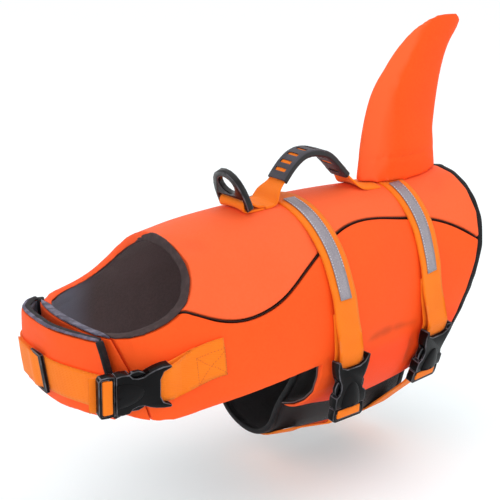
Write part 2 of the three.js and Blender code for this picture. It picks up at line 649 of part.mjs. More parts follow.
// Webbing along a side-view path over the back, following the round of the back where it is low
function spineWebbing(path) {
  const centre = path.map(([x, up]) => [x, backHeight(x, 0, WALL) + up]);
  const faces = [moved(centre, 0), moved(centre, 1)];
  return path.map(([, up, wide = SPINE_WIDTH / 2], i) => (share, half) => {
    const y = 2 * share * wide;
    const x = faces[0][i][0] + (faces[1][i][0] - faces[0][i][0]) * half;
    const z = faces[0][i][1] + (faces[1][i][1] - faces[0][i][1]) * half;
    const round = backHeight(x, 0, WALL) - backHeight(x, y, WALL);
    return new THREE.Vector3(x, y, z - round * (1 - THREE.MathUtils.smoothstep(up, 2, 9)));
  });
}
const spineColumns = [-0.5, -0.25, 0, 0.25, 0.5];
add('ring_loop', webbing(spineWebbing(RING_LOOP), spineColumns), COLOURS.webbing);
add('handle_webbing', webbing(spineWebbing(HANDLE), spineColumns), COLOURS.webbing);

// Handle grip: a slotted sleeve on the handle's webbing
{
  const centre = HANDLE.map(([x, up]) => new THREE.Vector2(x, backHeight(x, 0, WALL) + up));
  const curve = new THREE.SplineCurve(centre);
  const last = HANDLE.length - 1;
  const [from, to] = [GRIP.from / last, GRIP.to / last];
  const sleeve = (width, thick, start, end, steps) => {
    const list = range(start, end, steps).map((t) => {
      const p = curve.getPoint(t);
      const d = curve.getTangent(t);
      const corner = (y, n) => new THREE.Vector3(p.x - d.y * n, y, p.y + d.x * n);
      const [a, b, c] = [width / 2, thick / 2, Math.min(thick / 3, 1.6)];
      return [corner(a, b - c), corner(a - c, b), corner(-a + c, b), corner(-a, b - c), corner(-a, c - b),
        corner(-a + c, -b), corner(a - c, -b), corner(a, c - b)];
    });
    return toSolid(rings(list));
  };
  let grip = sleeve(GRIP.width, GRIP.thick, from, to, 16);
  grip = grip.subtract(sleeve(2 * HANDLE[GRIP.from][2] + 0.8, GRIP.inside, from - 0.03, to + 0.03, 22));
  for (const t of range(from, to, GRIP.slots + 1).slice(1, -1)) {
    const p = curve.getPoint(t);
    const d = curve.getTangent(t);
    const slot = new THREE.BoxGeometry(GRIP.slotLong, GRIP.slotWidth, 3 * GRIP.thick);
    slot.rotateY(-Math.atan2(d.y, d.x));
    slot.translate(p.x, 0, p.y);
    grip = grip.subtract(toSolid(slot));
  }
  add('handle_grip', toGeometry(grip), COLOURS.plastic, 0.5);
}

// Leash ring: a flat arch with a slot for its webbing and an oval hole
{
  const outline = [...RING_OUTLINE, ...RING_OUTLINE.slice(0, -1).map(([x, y]) => [-x, y]).reverse()];
  const hole = new THREE.EllipseCurve(0, RING_HOLE.up, RING_HOLE.across, RING_HOLE.high);
  const oval = hole.getPoints(20).slice(0, -1);
  const half = RING.thick / 2;
  const ring = plate(outline, -half, half)
    .subtract(plate(oval.map((p) => [p.x, p.y]), -10, 10))
    .subtract(block(RING.barWidth / 2, ...RING.slot, -10, 10))
    .subtract(block(RING.barWidth / 2, -10, RING.bar, -10, 10));
  const bar = new THREE.CylinderGeometry(RING.bar, RING.bar, RING.barWidth + 2, 12);
  bar.rotateZ(Math.PI / 2);
  const lean = THREE.MathUtils.degToRad(RING.lean);
  const frame = new THREE.Matrix4().makeBasis(new THREE.Vector3(0, 1, 0),
    new THREE.Vector3(-Math.sin(lean), 0, Math.cos(lean)),
    new THREE.Vector3(Math.cos(lean), 0, Math.sin(lean)));
  frame.setPosition(RING.x, 0, RING.z);
  add('d_ring', placed(ring.add(toSolid(bar)), frame), COLOURS.plastic, 0.35);
}

// Fin: a foam blade on the spine, let out over the handle's webbing and the rear strap
{
  const turns = 16;
  const list = FIN.map(({ front, rear: back, half }) => {
    return range(0, 360 - 360 / turns, turns - 1).map((degrees) => {
      const angle = THREE.MathUtils.degToRad(degrees);
      const [c, n] = [Math.cos(angle), Math.sin(angle)];
      const at = (k) => (front[k] + back[k]) / 2 - (c * (back[k] - front[k])) / 2;
      return new THREE.Vector3(at(0), half * Math.sign(n) * Math.abs(n) ** 1.2, at(1));
    });
  });
  const over = (from, to, depth) => toSolid(wall([-30, -12, 0, 12, 30], range(from, to, 6),
    (y, x) => new THREE.Vector3(x, y, backHeight(x, y, WALL + depth)),
    (y, x) => new THREE.Vector3(x, y, -40)));
  const clear = WEB.lift + WEB.thick + GAP;
  const fin = toSolid(rings(list))
    .subtract(over(40, 180, GAP + 0.3))
    .subtract(over(40, 78.5 + GAP, clear + 0.3))
    .subtract(over(82.5 - GAP, 109.5 + GAP, clear));
  add('fin', toGeometry(fin), COLOURS.fin);
}

// Chest buckle, the strap that comes round the outer flap to it, and the patch that holds it on the left side
{
  const { origin, along, lean } = CHEST_BUCKLE;
  const frame = buckleFrame(origin, along, [along[1], -along[0], lean]);
  addBuckle('chest', frame, CHEST_WEB);
  const middle = WALL + WEB.lift + WEB.thick / 2;
  const fromSide = (s, height, side, raised, out) => (share, half) => {
    const z = height - share * CHEST_WEB;
    return skin(s, angleAt(s, z, side), middle + raised + half, side, out);
  };
  const heightAt = (s) => -82 - 8 * THREE.MathUtils.smoothstep(-s, 155, 215);
  const frontHeight = (s) => -88 - 9 * THREE.MathUtils.smoothstep(-s, 170, 235);
  const patchRows = [
    ...[-155, -166].map((s) => fromSide(s, heightAt(s), -1, 0, 0)),
    ...[-178, -188].map((s, i) => fromSide(s, heightAt(s), -1, [2, 3.4][i], 0)),
    ...buckleRows(frame, ROUND_BAR, CHEST_WEB),
    ...[-188, -180].map((s) => fromSide(s, heightAt(s), -1, 0, 0)),
  ];
  add('chest_strap_patch', webbing(patchRows), COLOURS.webbing);
  const onFlap = (s) => fromSide(s, frontHeight(s), 1, 0, flapOut(s));
  const strapRows = [
    ...[...range(-155, -195, 4), ...range(-206, rightEnd, 14)].map(onFlap),
    ...buckleRows(frame, BEHIND_FRAME, CHEST_WEB),
  ];
  add('chest_strap', webbing(strapRows), COLOURS.webbing);

  // Slider: a flat frame on the strap at the front
  const [low, high] = [-0.5, 0.5].map((share) => onFlap(SLIDER.at)(share, WEB.thick / 2));
  const next = onFlap(SLIDER.at - 3)(-0.5, WEB.thick / 2);
  const up = low.clone().sub(high).normalize();
  const ahead = next.clone().sub(low).normalize();
  const facing = new THREE.Vector3().crossVectors(ahead, up).normalize();
  const centre = low.clone().add(high).multiplyScalar(0.5).addScaledVector(facing, GAP + 0.1);
  const sliderFrame = buckleFrame(centre.toArray(), ahead.toArray(), facing.toArray());
  const { high: tall, long, thick, rail } = SLIDER;
  const slider = block(tall / 2, -long / 2, long / 2, 0, thick)
    .subtract(block(tall / 2 - rail, -long / 2 + rail, long / 2 - rail, -1, thick + 1));
  add('chest_slider', placed(slider, sliderFrame), COLOURS.plastic, 0.35);
}

export default group;
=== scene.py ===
import math

import bmesh
import bpy
from mathutils import Matrix, Vector, noise
from mathutils.bvhtree import BVHTree
from mathutils.kdtree import KDTree


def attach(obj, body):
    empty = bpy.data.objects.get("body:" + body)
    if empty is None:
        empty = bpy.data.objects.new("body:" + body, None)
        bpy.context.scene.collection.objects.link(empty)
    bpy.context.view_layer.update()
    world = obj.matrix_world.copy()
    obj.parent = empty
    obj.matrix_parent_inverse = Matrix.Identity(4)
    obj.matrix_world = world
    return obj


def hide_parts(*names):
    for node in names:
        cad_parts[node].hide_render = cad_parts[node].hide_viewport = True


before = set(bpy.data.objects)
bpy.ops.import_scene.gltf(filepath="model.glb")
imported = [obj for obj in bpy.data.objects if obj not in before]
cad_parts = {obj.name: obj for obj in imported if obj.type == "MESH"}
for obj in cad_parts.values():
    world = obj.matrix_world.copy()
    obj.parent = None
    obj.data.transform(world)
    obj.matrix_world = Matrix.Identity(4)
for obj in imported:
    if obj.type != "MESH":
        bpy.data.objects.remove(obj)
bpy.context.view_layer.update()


# Camera: the jacket is seen from its left front, a little above the back, through a long lens, so that the near side,
# the open neck and the top of the back all show.
LOOK_SIDE, LOOK_DOWN = math.radians(38), math.radians(18)
camera_data = bpy.data.cameras.new("camera")
camera_data.lens = 93.6
camera_data.sensor_width = 36
camera_data.clip_end = 20
camera = bpy.data.objects.new("camera", camera_data)
bpy.context.collection.objects.link(camera)
back = Vector((-math.sin(LOOK_SIDE) * math.cos(LOOK_DOWN), -math.cos(LOOK_SIDE) * math.cos(LOOK_DOWN),
               math.sin(LOOK_DOWN)))
right = Vector((math.cos(LOOK_SIDE), -math.sin(LOOK_SIDE), 0))
camera.matrix_world = Matrix.LocRotScale(
    Vector((-0.73429, -0.85938, 0.32188)), Matrix((right, back.cross(right), back)).transposed().to_quaternion(), None)
bpy.context.scene.camera = camera


# Back panel: a sheet of foam between two layers of coated coral cloth, from the neck to the tail end between the two
# piped seams. The foam keeps it smooth, and it is drawn in a little along its seams.
class Flow:
    """A value in a finish's nodes, which sums can be written with."""

    def __init__(self, finish, socket):
        self.finish = finish
        self.socket = socket

    def __add__(self, other):
        return self.finish.sum("ADD", self, other)

    def __sub__(self, other):
        return self.finish.sum("SUBTRACT", self, other)

    def __rsub__(self, other):
        return self.finish.sum("SUBTRACT", other, self)

    def __mul__(self, other):
        return self.finish.sum("MULTIPLY", self, other)

    def __truediv__(self, other):
        return self.finish.sum("DIVIDE", self, other)

    __radd__ = __add__
    __rmul__ = __mul__


class Finish:
    """A material, with the nodes that give it its colour, gloss and weave."""

    def __init__(self, name, roughness, sheen=0.0, metallic=0.0, gloss=0.5):
        self.material = bpy.data.materials.new(name)
        self.material.use_nodes = True
        self.tree = self.material.node_tree
        self.shader = self.tree.nodes["Principled BSDF"]
        self.shader.inputs["Roughness"].default_value = roughness
        self.shader.inputs["Sheen Weight"].default_value = sheen
        self.shader.inputs["Sheen Roughness"].default_value = 0.5
        self.shader.inputs["Specular IOR Level"].default_value = gloss
        self.shader.inputs["Metallic"].default_value = metallic

    def node(self, kind, settings=None, inputs=None, output=0):
        node = self.tree.nodes.new(kind)
        for key, value in (settings or {}).items():
            setattr(node, key, value)
        for key, value in (inputs or {}).items():
            self.feed(node.inputs[key], value)
        return Flow(self, node.outputs[output])

    def feed(self, socket, value):
        if isinstance(value, Flow):
            self.tree.links.new(value.socket, socket)
        else:
            socket.default_value = value

    def sum(self, operation, *values):
        return self.node("ShaderNodeMath", {"operation": operation}, dict(enumerate(values)))

    def mix(self, share, first, second):
        return self.node("ShaderNodeMix", {"data_type": "RGBA"}, {0: share, 6: first, 7: second}, 2)

    def noise(self, place, scale, detail=2.0):
        return self.node("ShaderNodeTexNoise", None, {"Vector": place, "Scale": scale, "Detail": detail})

    def between(self, value, low, high):
        return self.node("ShaderNodeMapRange", {"interpolation_type": "SMOOTHSTEP"}, {0: value, 1: low, 2: high})

    def place(self):
        return self.node("ShaderNodeTexCoord", output=3)

    def parts(self, place):
        split = self.node("ShaderNodeSeparateXYZ", None, {0: place})
        return [Flow(self, socket) for socket in split.socket.node.outputs]

    def colour(self, value):
        self.feed(self.shader.inputs["Base Color"], value)

    def rough(self, value):
        self.feed(self.shader.inputs["Roughness"], value)

    def bump(self, height, depth, strength=1.0):
        relief = self.node("ShaderNodeBump", None, {"Height": height, "Distance": depth, "Strength": strength})
        self.feed(self.shader.inputs["Normal"], relief)


def paint(red, green, blue, light=1.0):
    """A colour as a picture has it, made linear."""
    channels = [c / 255 for c in (red, green, blue)]
    return (*[light * (c / 12.92 if c <= 0.04045 else ((c + 0.055) / 1.055) ** 2.4) for c in channels], 1)


def coated_cloth(name, fresh, worn, roughness=0.66, sheen=0.02, thread=0.0009, relief=0.00012, low=None,
                 ahead=None, painted_front_light=None):
    """Coated plain-weave cloth: a fine weave, a slightly uneven dye and soft unevenness of the padding, and painted
    shade in the creases that fold presses. Where low is given, the cloth is that deeper colour under the foam's end as
    painted shade, where ahead is, that greyer one towards the neck, and where the colour for painted light is given,
    that lighter one on what faces forward, as a painted highlight."""
    finish = Finish(name, roughness, sheen, gloss=0.2)
    place = finish.place()
    x, y, z = finish.parts(place)
    round_about = y * 0.8 + z
    weave = (finish.sum("SINE", x * (2 * math.pi / thread))
             * finish.sum("SINE", round_about * (2 * math.pi / thread)))
    dye = finish.noise(place, 9, 3)
    grain = finish.noise(place, 420, 2)
    shade = finish.mix(finish.between(dye * 0.7 + grain * 0.3, 0.35, 0.65), fresh, worn)
    # Painted shade: under the foam's end the cloth turns to the deeper colour.
    if low:
        shade = finish.mix(finish.between(z * -1, 0.1, 0.125) * finish.between(x, -0.06, -0.02), shade, low)
    if ahead:
        shade = finish.mix(finish.between(x * -1 + dye * 0.03, 0.19, 0.232), shade, ahead)
    # Painted shade: the cloth darkens where fold pressed a crease in.
    hollow = finish.node("ShaderNodeAttribute", {"attribute_name": "hollow"}, output=2)
    shade = finish.mix(finish.between(hollow, 0.1, 2.2) * 0.55, shade, [c * 0.45 for c in worn[:3]] + [1])
    # Painted highlight: the cloth turns lighter where it faces forward.
    if painted_front_light:
        facing = finish.parts(finish.node("ShaderNodeTexCoord", output=1))[0]
        shade = finish.mix(finish.between(facing * -1, 0.16, 0.38), shade, painted_front_light)
    finish.colour(shade)
    finish.rough(finish.between(dye, 0.2, 0.8) * 0.12 + (roughness - 0.06))
    finish.bump(weave * 0.25 + grain * 0.5 + finish.noise(place, 60, 2) * 2.2, relief)
    return finish.material


def keep(name, mesh, finish, replaces=(), body="jacket"):
    """Makes a finished mesh a piece of the jacket."""
    piece = bpy.data.objects.new(name, mesh)
    bpy.context.collection.objects.link(piece)
    if not mesh.materials:
        mesh.materials.append(finish)
    mesh.polygons.foreach_set("use_smooth", [True] * len(mesh.polygons))
    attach(piece, body)
    if replaces:
        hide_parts(*replaces)
    return piece


def settle(piece):
    """Applies what modifiers a piece has."""
    bpy.context.view_layer.update()
    done = bpy.data.meshes.new_from_object(piece.evaluated_get(bpy.context.evaluated_depsgraph_get()))
    piece.modifiers.clear()
    piece.data = done


def rounded(node, hold=0.7, rounds=2, sharp=35, reshape=None):
    """A merged copy of a node's mesh with its facets rounded off and its edges held."""
    form = bmesh.new()
    form.from_mesh(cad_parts[node].data)
    bmesh.ops.remove_doubles(form, verts=form.verts, dist=2e-5)
    bmesh.ops.join_triangles(form, faces=form.faces, angle_face_threshold=0.5, angle_shape_threshold=1.2)
    if reshape:
        reshape(form)
    crease = form.edges.layers.float.new("crease_edge")
    for edge in form.edges:
        if edge.calc_face_angle(0) > math.radians(sharp):
            edge[crease] = hold
    mesh = bpy.data.meshes.new(node)
    form.to_mesh(mesh)
    form.free()
    trial = bpy.data.objects.new("trial", mesh)
    bpy.context.collection.objects.link(trial)
    smooth = trial.modifiers.new("rounding", "SUBSURF")
    smooth.levels = smooth.render_levels = rounds
    settle(trial)
    mesh = trial.data
    bpy.data.objects.remove(trial)
    return mesh


AXIS = Vector((0, 0, -0.1))


def outward(point):
    """The way out from the wearer's body at a point."""
    away = Vector((min(point.x + 0.2, 0), point.y, point.z - AXIS.z))
    return away.normalized()


def tree_of(piece):
    return BVHTree.FromPolygons([v.co for v in piece.data.vertices], [p.vertices for p in piece.data.polygons])


def puff(piece, cap, inner=0.0, sewn_under=-1.0, seam_held=False):
    """Presses a padded piece out from inside, as its foam does, by at most the cap. Its inner face moves by a share,
    and what is sewn down under a height, or lies in a held edge seam, stays."""
    rest = [v.co.copy() for v in piece.data.vertices]
    normals = [v.normal.copy() for v in piece.data.vertices]
    padding = piece.modifiers.new("padding", "CLOTH")
    padding.settings.use_pressure = True
    padding.settings.uniform_pressure_force = 4
    padding.settings.quality = 5
    padding.settings.effector_weights.gravity = 0
    scene = bpy.context.scene
    for number in range(1, 21):
        scene.frame_set(number)
    blown = piece.evaluated_get(bpy.context.evaluated_depsgraph_get())
    moves = [v.co - old for v, old in zip(blown.data.vertices, rest)]
    piece.modifiers.clear()
    scene.frame_set(1)
    for index, (old, normal, move) in enumerate(zip(rest, normals, moves)):
        limit = cap * (1.0 if normal.dot(outward(old)) > 0.15 else inner)
        limit *= min(max((old.z - sewn_under) / 0.02, 0), 1)
        if seam_held:
            limit *= min(abs(normal.y) * 1.4, 1)
        moves[index] = move if move.length < limit else move * (limit / max(move.length, 1e-9))
    around = [[] for _ in rest]
    for edge in piece.data.edges:
        a, b = edge.vertices
        around[a].append(b)
        around[b].append(a)
    for _ in range(4):
        moves = [sum((moves[i] for i in near), move) / (len(near) + 1) for move, near in zip(moves, around)]
    for vertex, old, move in zip(piece.data.vertices, rest, moves):
        vertex.co = old + move


def fold(piece, marks, seed=0, into=None):
    """Presses creases into cloth, inward or as into says. A mark is two ends in millimetres, which are laid
    on the cloth, how deep it is (a ridge is less than nothing) and half how wide, and it fades out towards its ends."""
    steps = 30
    tree = tree_of(piece)
    normals = [v.normal.copy() for v in piece.data.vertices]
    moves = {}
    for start, end, deep, wide in marks:
        a, b = Vector(start) / 1000, Vector(end) / 1000
        line = KDTree(steps + 1)
        for step in range(steps + 1):
            spot = a.lerp(b, step / steps)
            way = Vector((noise.noise(Vector((step * 0.13 + seed, deep, wide))), 0,
                          noise.noise(Vector((step * 0.13 - seed, wide, deep)))))
            line.insert(tree.find_nearest(spot + outward(spot) * 0.015 + way * wide * 0.0006)[0], step)
        line.balance()
        for vertex in piece.data.vertices:
            _, step, away = line.find(vertex.co)
            share = away * 1000 / wide
            if share < 1:
                fade = math.sin(math.pi * min(max(step / steps, 0.04), 0.96)) ** 0.6
                depth = deep / 1000 * fade * (0.5 + 0.5 * math.cos(math.pi * share))
                moves[vertex.index] = moves.get(vertex.index, 0) + depth
    # Each point's crease depth is kept, and the cloth finish darkens the cloth there as painted shade.
    hollow = piece.data.attributes.new("hollow", "FLOAT", "POINT")
    for index, depth in moves.items():
        hollow.data[index].value = max(depth, 0) * 1000
        vertex = piece.data.vertices[index]
        vertex.co -= (into(normals[index]) if into else outward(vertex.co)) * depth


def refine(piece, rounds=1):
    """Finer faces for what was pressed or folded."""
    finer = piece.modifiers.new("finer", "SUBSURF")
    finer.levels = finer.render_levels = rounds
    settle(piece)
    piece.data.polygons.foreach_set("use_smooth", [True] * len(piece.data.polygons))


# The back panel's coral is lighter than the sides' orange partly as the cloth's own colour and partly as painted light
# on the top of the back.
coral = coated_cloth("coral cloth", paint(255, 98, 46, 0.92), paint(255, 103, 53, 0.92))
back_panel = keep("back_panel_cloth", rounded("back_panel"), coral, ["back_panel"])
puff(back_panel, 0.0012)
fold(back_panel, [
    [(-168, -20, 5), (-130, -46, -4), 0.9, 16], [(-160, 34, 1), (-118, 20, 8), 0.8, 15],
    [(40, -30, 6), (76, -12, 7), 0.6, 12], [(120, -38, -6), (160, -20, 4), 0.8, 16],
    [(128, 40, -8), (158, 24, 2), 0.8, 16], [(-16, 30, 4), (30, 36, 2), 0.6, 14],
])
refine(back_panel)


# Side panels: foam between orange cloth down to a line below the widest part, and under that line the two cloths alone
# as a thin flap with a turned hem. A faint crease runs where the foam ends, darkened with painted shade, and under the
# foam's end the cloth is painted a deeper orange as painted shade.
orange = coated_cloth("orange cloth", paint(255, 84, 16, 0.92), paint(255, 90, 24, 0.92), low=paint(255, 70, 2, 0.92))
side_marks = {
    "left": [
        [(-8, -104, -100), (70, -97, -105), 2.4, 5], [(-6, -104, -109), (66, -97, -114), -0.9, 8],
        [(70, -92, -110), (64, -80, -160), 2.4, 9],
        [(-62, -98, -104), (-60, -92, -150), 0.7, 10], [(-190, -84, -100), (-150, -92, -112), 0.5, 9],
        [(110, -76, -118), (128, -70, -132), 0.6, 8], [(-120, -94, -70), (-84, -98, -96), 0.5, 18],
    ],
    "right": [
        [(-8, 104, -103), (62, 97, -108), 2.0, 5], [(6, 104, -112), (64, 97, -117), -0.8, 8],
        [(-58, 98, -106), (-62, 92, -150), 0.7, 10], [(-186, 84, -96), (-146, 92, -110), 0.6, 10],
        [(104, 76, -116), (128, 70, -134), 0.6, 8], [(-118, 94, -66), (-80, 98, -92), 0.5, 18],
    ],
}
side_panels = {}
for side, marks in side_marks.items():
    panel = keep(f"side_panel_{side}_cloth", rounded(f"side_panel_{side}", hold=0.95), orange,
                 [f"side_panel_{side}"])
    puff(panel, 0.001)
    fold(panel, marks, seed=len(side))
    refine(panel)
    side_panels[side] = panel


# Piping: a thin cord in a fold of smooth black cloth, caught in the seam between the back panel and each side panel.
piping_cloth = coated_cloth("piping cloth", paint(30, 22, 22), paint(44, 30, 28), 0.42, 0.0, 0.0007, 0.0001)
for side in ("left", "right"):
    keep(f"piping_{side}_cord", rounded(f"piping_{side}", hold=0.15), piping_cloth,
         [f"piping_{side}"])


# Lining: one dark, slightly shiny cloth on the inside of the back and sides. It lies against the foam and shows through
# the neck and the tail end, with soft wrinkles towards its edges.
lining_cloth = coated_cloth("dark lining", paint(78, 61, 61), paint(94, 73, 73), 0.5, 0.05, 0.0008, 0.0002,
                            ahead=paint(112, 110, 124))
lining = keep("lining_cloth", rounded("lining", hold=0.9), lining_cloth, ["lining"])
fold(lining, [
    [(-238, 30, -52), (-206, 62, -40), 1.2, 7], [(-236, 14, -50), (-200, 50, -26), -0.9, 8],
    [(-232, 44, -72), (-204, 72, -62), 1.0, 8], [(-226, 58, -50), (-196, 74, -46), -0.9, 6],
])


# Neck binding: a soft grey-blue strip round the neck's front edges, and a dark one behind the shoulders. Its small
# puckers come from the row of stitches that hold it.
def binding_cloth(name, first, second, roughness=0.7, sheen=0.2):
    finish = Finish(name, roughness, sheen, gloss=0.2)
    place = finish.place()
    patches = finish.noise(place, 130, 3)
    finish.colour(finish.mix(finish.between(patches, 0.35, 0.7), first, second))
    finish.bump(patches + finish.noise(place, 700, 2) * 0.3, 0.0009)
    return finish


neck_strip = keep("neck_binding_strip", rounded("neck_binding", hold=0.25, rounds=1), lining_cloth,
                  ["neck_binding"])


def mark_depth(piece, cloth, shift):
    """Keeps on each point of a binding how far out it is from the lining inside it, in millimetres."""
    depths = piece.data.attributes.new("depth", "FLOAT", "POINT")
    inside = BVHTree.FromPolygons([v.co for v in cloth.data.vertices], [p.vertices for p in cloth.data.polygons])
    for vertex in piece.data.vertices:
        depths.data[vertex.index].value = inside.find_nearest(vertex.co)[3] * 1000 + shift(vertex.co)


def rim_finish(name, change, inner, outer, uneven=0.15):
    """A binding that has one colour on its inner part and another on its outer part."""
    finish = Finish(name, 0.66, gloss=0.2)
    depth = finish.node("ShaderNodeAttribute", {"attribute_name": "depth"}, output=2)
    patches = finish.noise(finish.place(), 160, 3)
    finish.colour(finish.mix(finish.between(depth + patches * uneven, change, change + 0.4),
                             *[finish.mix(finish.between(patches, 0.4, 0.7), *pair) for pair in (inner, outer)]))
    finish.bump(patches, 0.0006)
    return finish.material


mark_depth(neck_strip, lining, lambda p: 7 * min(max(p.y / 0.03, 0), 1) - 2)
neck_strip.data.materials[0] = rim_finish("neck rim", 6.6, (paint(60, 47, 47), paint(72, 56, 56)),
                                          (paint(255, 88, 34, 0.9), paint(255, 96, 44, 0.9)))
keep("neck_tape_strip", rounded("neck_tape", hold=0.8), piping_cloth, ["neck_tape"])


# Rear binding: a black woven strip folded over the tail end's edge, from hem to hem.
black_strip = binding_cloth("black binding", paint(10, 9, 11), paint(24, 22, 26), 0.6, 0.02)
keep("rear_binding_strip", rounded("rear_binding", hold=0.35), black_strip.material,
     ["rear_binding"])


# Chest flaps: foam in orange cloth with a grey lining. The right one laps over the left one at the front of the neck,
# and the chest strap draws both in. Their top edges are bound in grey-blue cloth, and the right one's binding is
# painted near black on its inner part as painted shadow.
flap_lining = coated_cloth("flap lining", paint(72, 70, 84), paint(98, 96, 112), 0.45, 0.1, 0.0008, 0.0009)
flap_grey = binding_cloth("flap binding", paint(74, 70, 84), paint(122, 118, 136), 0.7, 0.08)
flap_marks = {
    "left": [[(-232, -66, -92), (-244, -40, -104), 0.5, 10], [(-243, 10, -80), (-242, 40, -98), 0.5, 9]],
    "right": [[(-262, 30, -70), (-266, -10, -76), 0.6, 9], [(-262, -20, -112), (-256, -44, -116), 0.6, 8],
              [(-232, 68, -90), (-222, 74, -112), 0.5, 9]],
}
flaps = {}
for side, marks in flap_marks.items():
    flap = keep(f"chest_flap_{side}_cloth", rounded(f"chest_flap_{side}", hold=0.95), orange,
                [f"chest_flap_{side}"])
    puff(flap, 0.0008)
    fold(flap, marks)
    refine(flap)
    flaps[side] = flap
    inside = keep(f"flap_lining_{side}_cloth", rounded(f"flap_lining_{side}", hold=0.9),
                  {"left": flap_lining, "right": lining_cloth}[side], [f"flap_lining_{side}"])
    strip = keep(f"flap_binding_{side}_strip", rounded(f"flap_binding_{side}", hold=0.3, rounds=1),
                 flap_grey.material, [f"flap_binding_{side}"])
    if side == "right":
        # Painted shadow: the inner part of the outer flap's binding is near black, for the shade in the gap under its
        # top edge.
        mark_depth(strip, inside, lambda p: 0)
        strip.data.materials[0] = rim_finish("outer flap rim", 4.9, (paint(30, 26, 29), paint(42, 37, 42)),
                                             (paint(84, 78, 94), paint(122, 116, 134)), 1.0)


# Flap end binding: a short black strip folded over the outer flap's free end, from its top edge to its bottom one. It
# is made wider than the binding, so its black also stands in for the shadow in the gap beside it, as painted shadow.
END = {"thick": 0.0078, "wide": 0.0034, "line": [(-253.0, -54.6, -54.5), (-251.1, -57.2, -65), (-248.8, -60.4, -81),
                                                (-246.2, -62.1, -98), (-243.6, -61.9, -119)]}
form = bmesh.new()
bmesh.ops.create_cube(form, size=1)
uprights = [e for e in form.edges if abs(e.verts[0].co.z - e.verts[1].co.z) > 0.5]
bmesh.ops.subdivide_edges(form, edges=uprights, cuts=12, use_grid_fill=True)
for vertex in form.verts:
    level = (0.5 - vertex.co.z) * (len(END["line"]) - 1)
    upper = min(int(level), len(END["line"]) - 2)
    middle = Vector(END["line"][upper]).lerp(Vector(END["line"][upper + 1]), level - upper) / 1000
    vertex.co = (middle + Vector((-0.92, -0.38, 0.08)) * (vertex.co.x * END["thick"])
                 + Vector((0.38, -0.92, 0)) * (vertex.co.y * END["wide"]))
bmesh.ops.recalc_face_normals(form, faces=form.faces)
mesh = bpy.data.meshes.new("flap_end")
form.to_mesh(mesh)
form.free()
flap_end = keep("flap_end_binding_and_shadow", mesh, black_strip.material)
edge_round = flap_end.modifiers.new("edges", "BEVEL")
edge_round.width = 0.0012
edge_round.segments = 3
edge_round.limit_method = "ANGLE"
settle(flap_end)


# Flap gap shadow: a small black block where the two flaps' top edges meet on the right, put there as painted shadow for
# the dark gap between them.
form = bmesh.new()
bmesh.ops.create_cube(form, size=1)
bmesh.ops.scale(form, vec=(0.006, 0.0075, 0.014), verts=form.verts)
bmesh.ops.bevel(form, geom=[*form.verts, *form.edges], offset=0.0012, offset_type="OFFSET", segments=3, profile=0.5,
                affect="EDGES", material=-1)
bmesh.ops.rotate(form, matrix=Matrix.Rotation(math.radians(-25), 3, "Z"), verts=form.verts)
bmesh.ops.translate(form, vec=(-0.2405, 0.0585, -0.0612), verts=form.verts)
mesh = bpy.data.meshes.new("gap_shadow_mesh")
form.to_mesh(mesh)
form.free()
keep("flap_gap_shadow_block", mesh, black_strip.material)


# Belly sling: a padded strip of dark cloth under the belly, sewn to the right side and drawn up by the belly straps. Its
# front and rear edges are bound in black.
sling_cloth = coated_cloth("sling cloth", paint(20, 17, 19), paint(32, 28, 32), 0.6, 0.1, 0.001, 0.0008)
sling = keep("belly_sling_cloth", rounded("belly_sling"), sling_cloth, ["belly_sling"])
fold(sling, [
    [(-40, -20, -196), (10, 20, -212), 1.0, 14], [(-36, 30, -210), (20, 48, -202), 0.9, 12],
    [(20, -10, -214), (70, 16, -222), 1.0, 14], [(-30, 62, -186), (30, 66, -178), 0.9, 12],
])
for edge in ("front", "rear"):
    keep(f"sling_binding_{edge}_strip", rounded(f"sling_binding_{edge}", hold=0.3), black_strip.material,
         [f"sling_binding_{edge}"])


# Back straps: woven webbing over the back, sewn down as far as the tape reaches. On the left it goes through the female
# buckle and comes back up behind itself.
def webbing_finish(name, bright, deep):
    """Woven webbing: ribs along it that cross threads hold in short steps."""
    finish = Finish(name, 0.72, 0.05, gloss=0.25)
    across, along, _ = finish.parts(finish.node("ShaderNodeUVMap", {"uv_map": "weave"}))
    ribs = finish.sum("SINE", across * (2 * math.pi / 0.0015))
    steps = finish.sum("SINE", along * (2 * math.pi / 0.0011) + ribs * 1.2)
    weave = ribs * 0.5 + steps * 0.5
    place = finish.place()
    wear = finish.noise(place, 24, 3)
    finish.colour(finish.mix(finish.between(weave * 0.1 + wear, 0.1, 0.9), deep, bright))
    finish.bump(weave + finish.noise(place, 500, 1) * 0.6, 0.00012)
    return finish.material


def weave_map(piece, across, along):
    """Lays the weave on a piece, in metres across and along its webbing."""
    layer = piece.data.uv_layers.new(name="weave")
    places = [v.co for v in piece.data.vertices]
    for loop in piece.data.loops:
        point = places[loop.vertex_index]
        layer.data[loop.index].uv = (across(point), along(point))


def turned(middle, flat, up, reach):
    """How far round a middle a point lies, as a length at some reach."""
    return lambda p: math.atan2(p[flat] - middle[0], p[up] - middle[1]) * reach


webbing = webbing_finish("orange webbing", paint(255, 132, 10, 0.92), paint(246, 117, 2, 0.92))
straps = {}
for name, at in (("front", -0.027), ("rear", 0.096)):
    strap = keep(f"back_strap_{name}_webbing", rounded(f"back_strap_{name}", hold=1.0), webbing,
                 [f"back_strap_{name}"])
    weave_map(strap, lambda p, at=at: p.x - at, turned((0, -0.1), 1, 2, 0.1))
    straps[name] = strap


# Reflective tapes: silver woven tape with a fine grain, sewn along both edges to each half of the back straps.
silver = Finish("reflective tape", 0.38, metallic=0.35)
tape_place = silver.place()
grains = silver.node("ShaderNodeTexVoronoi", None, {"Vector": tape_place, "Scale": 900.0})
tape_patches = silver.noise(tape_place, 60, 3)
silver.colour(silver.mix(silver.between(grains + tape_patches * 0.5, 0.2, 1.0), paint(160, 154, 160),
                         paint(138, 132, 140)))
silver.bump(grains, 0.0001)
thread = Finish("tape thread", 0.6)
thread.colour(thread.mix(thread.noise(thread.place(), 800, 1), paint(226, 222, 226), paint(188, 184, 190)))


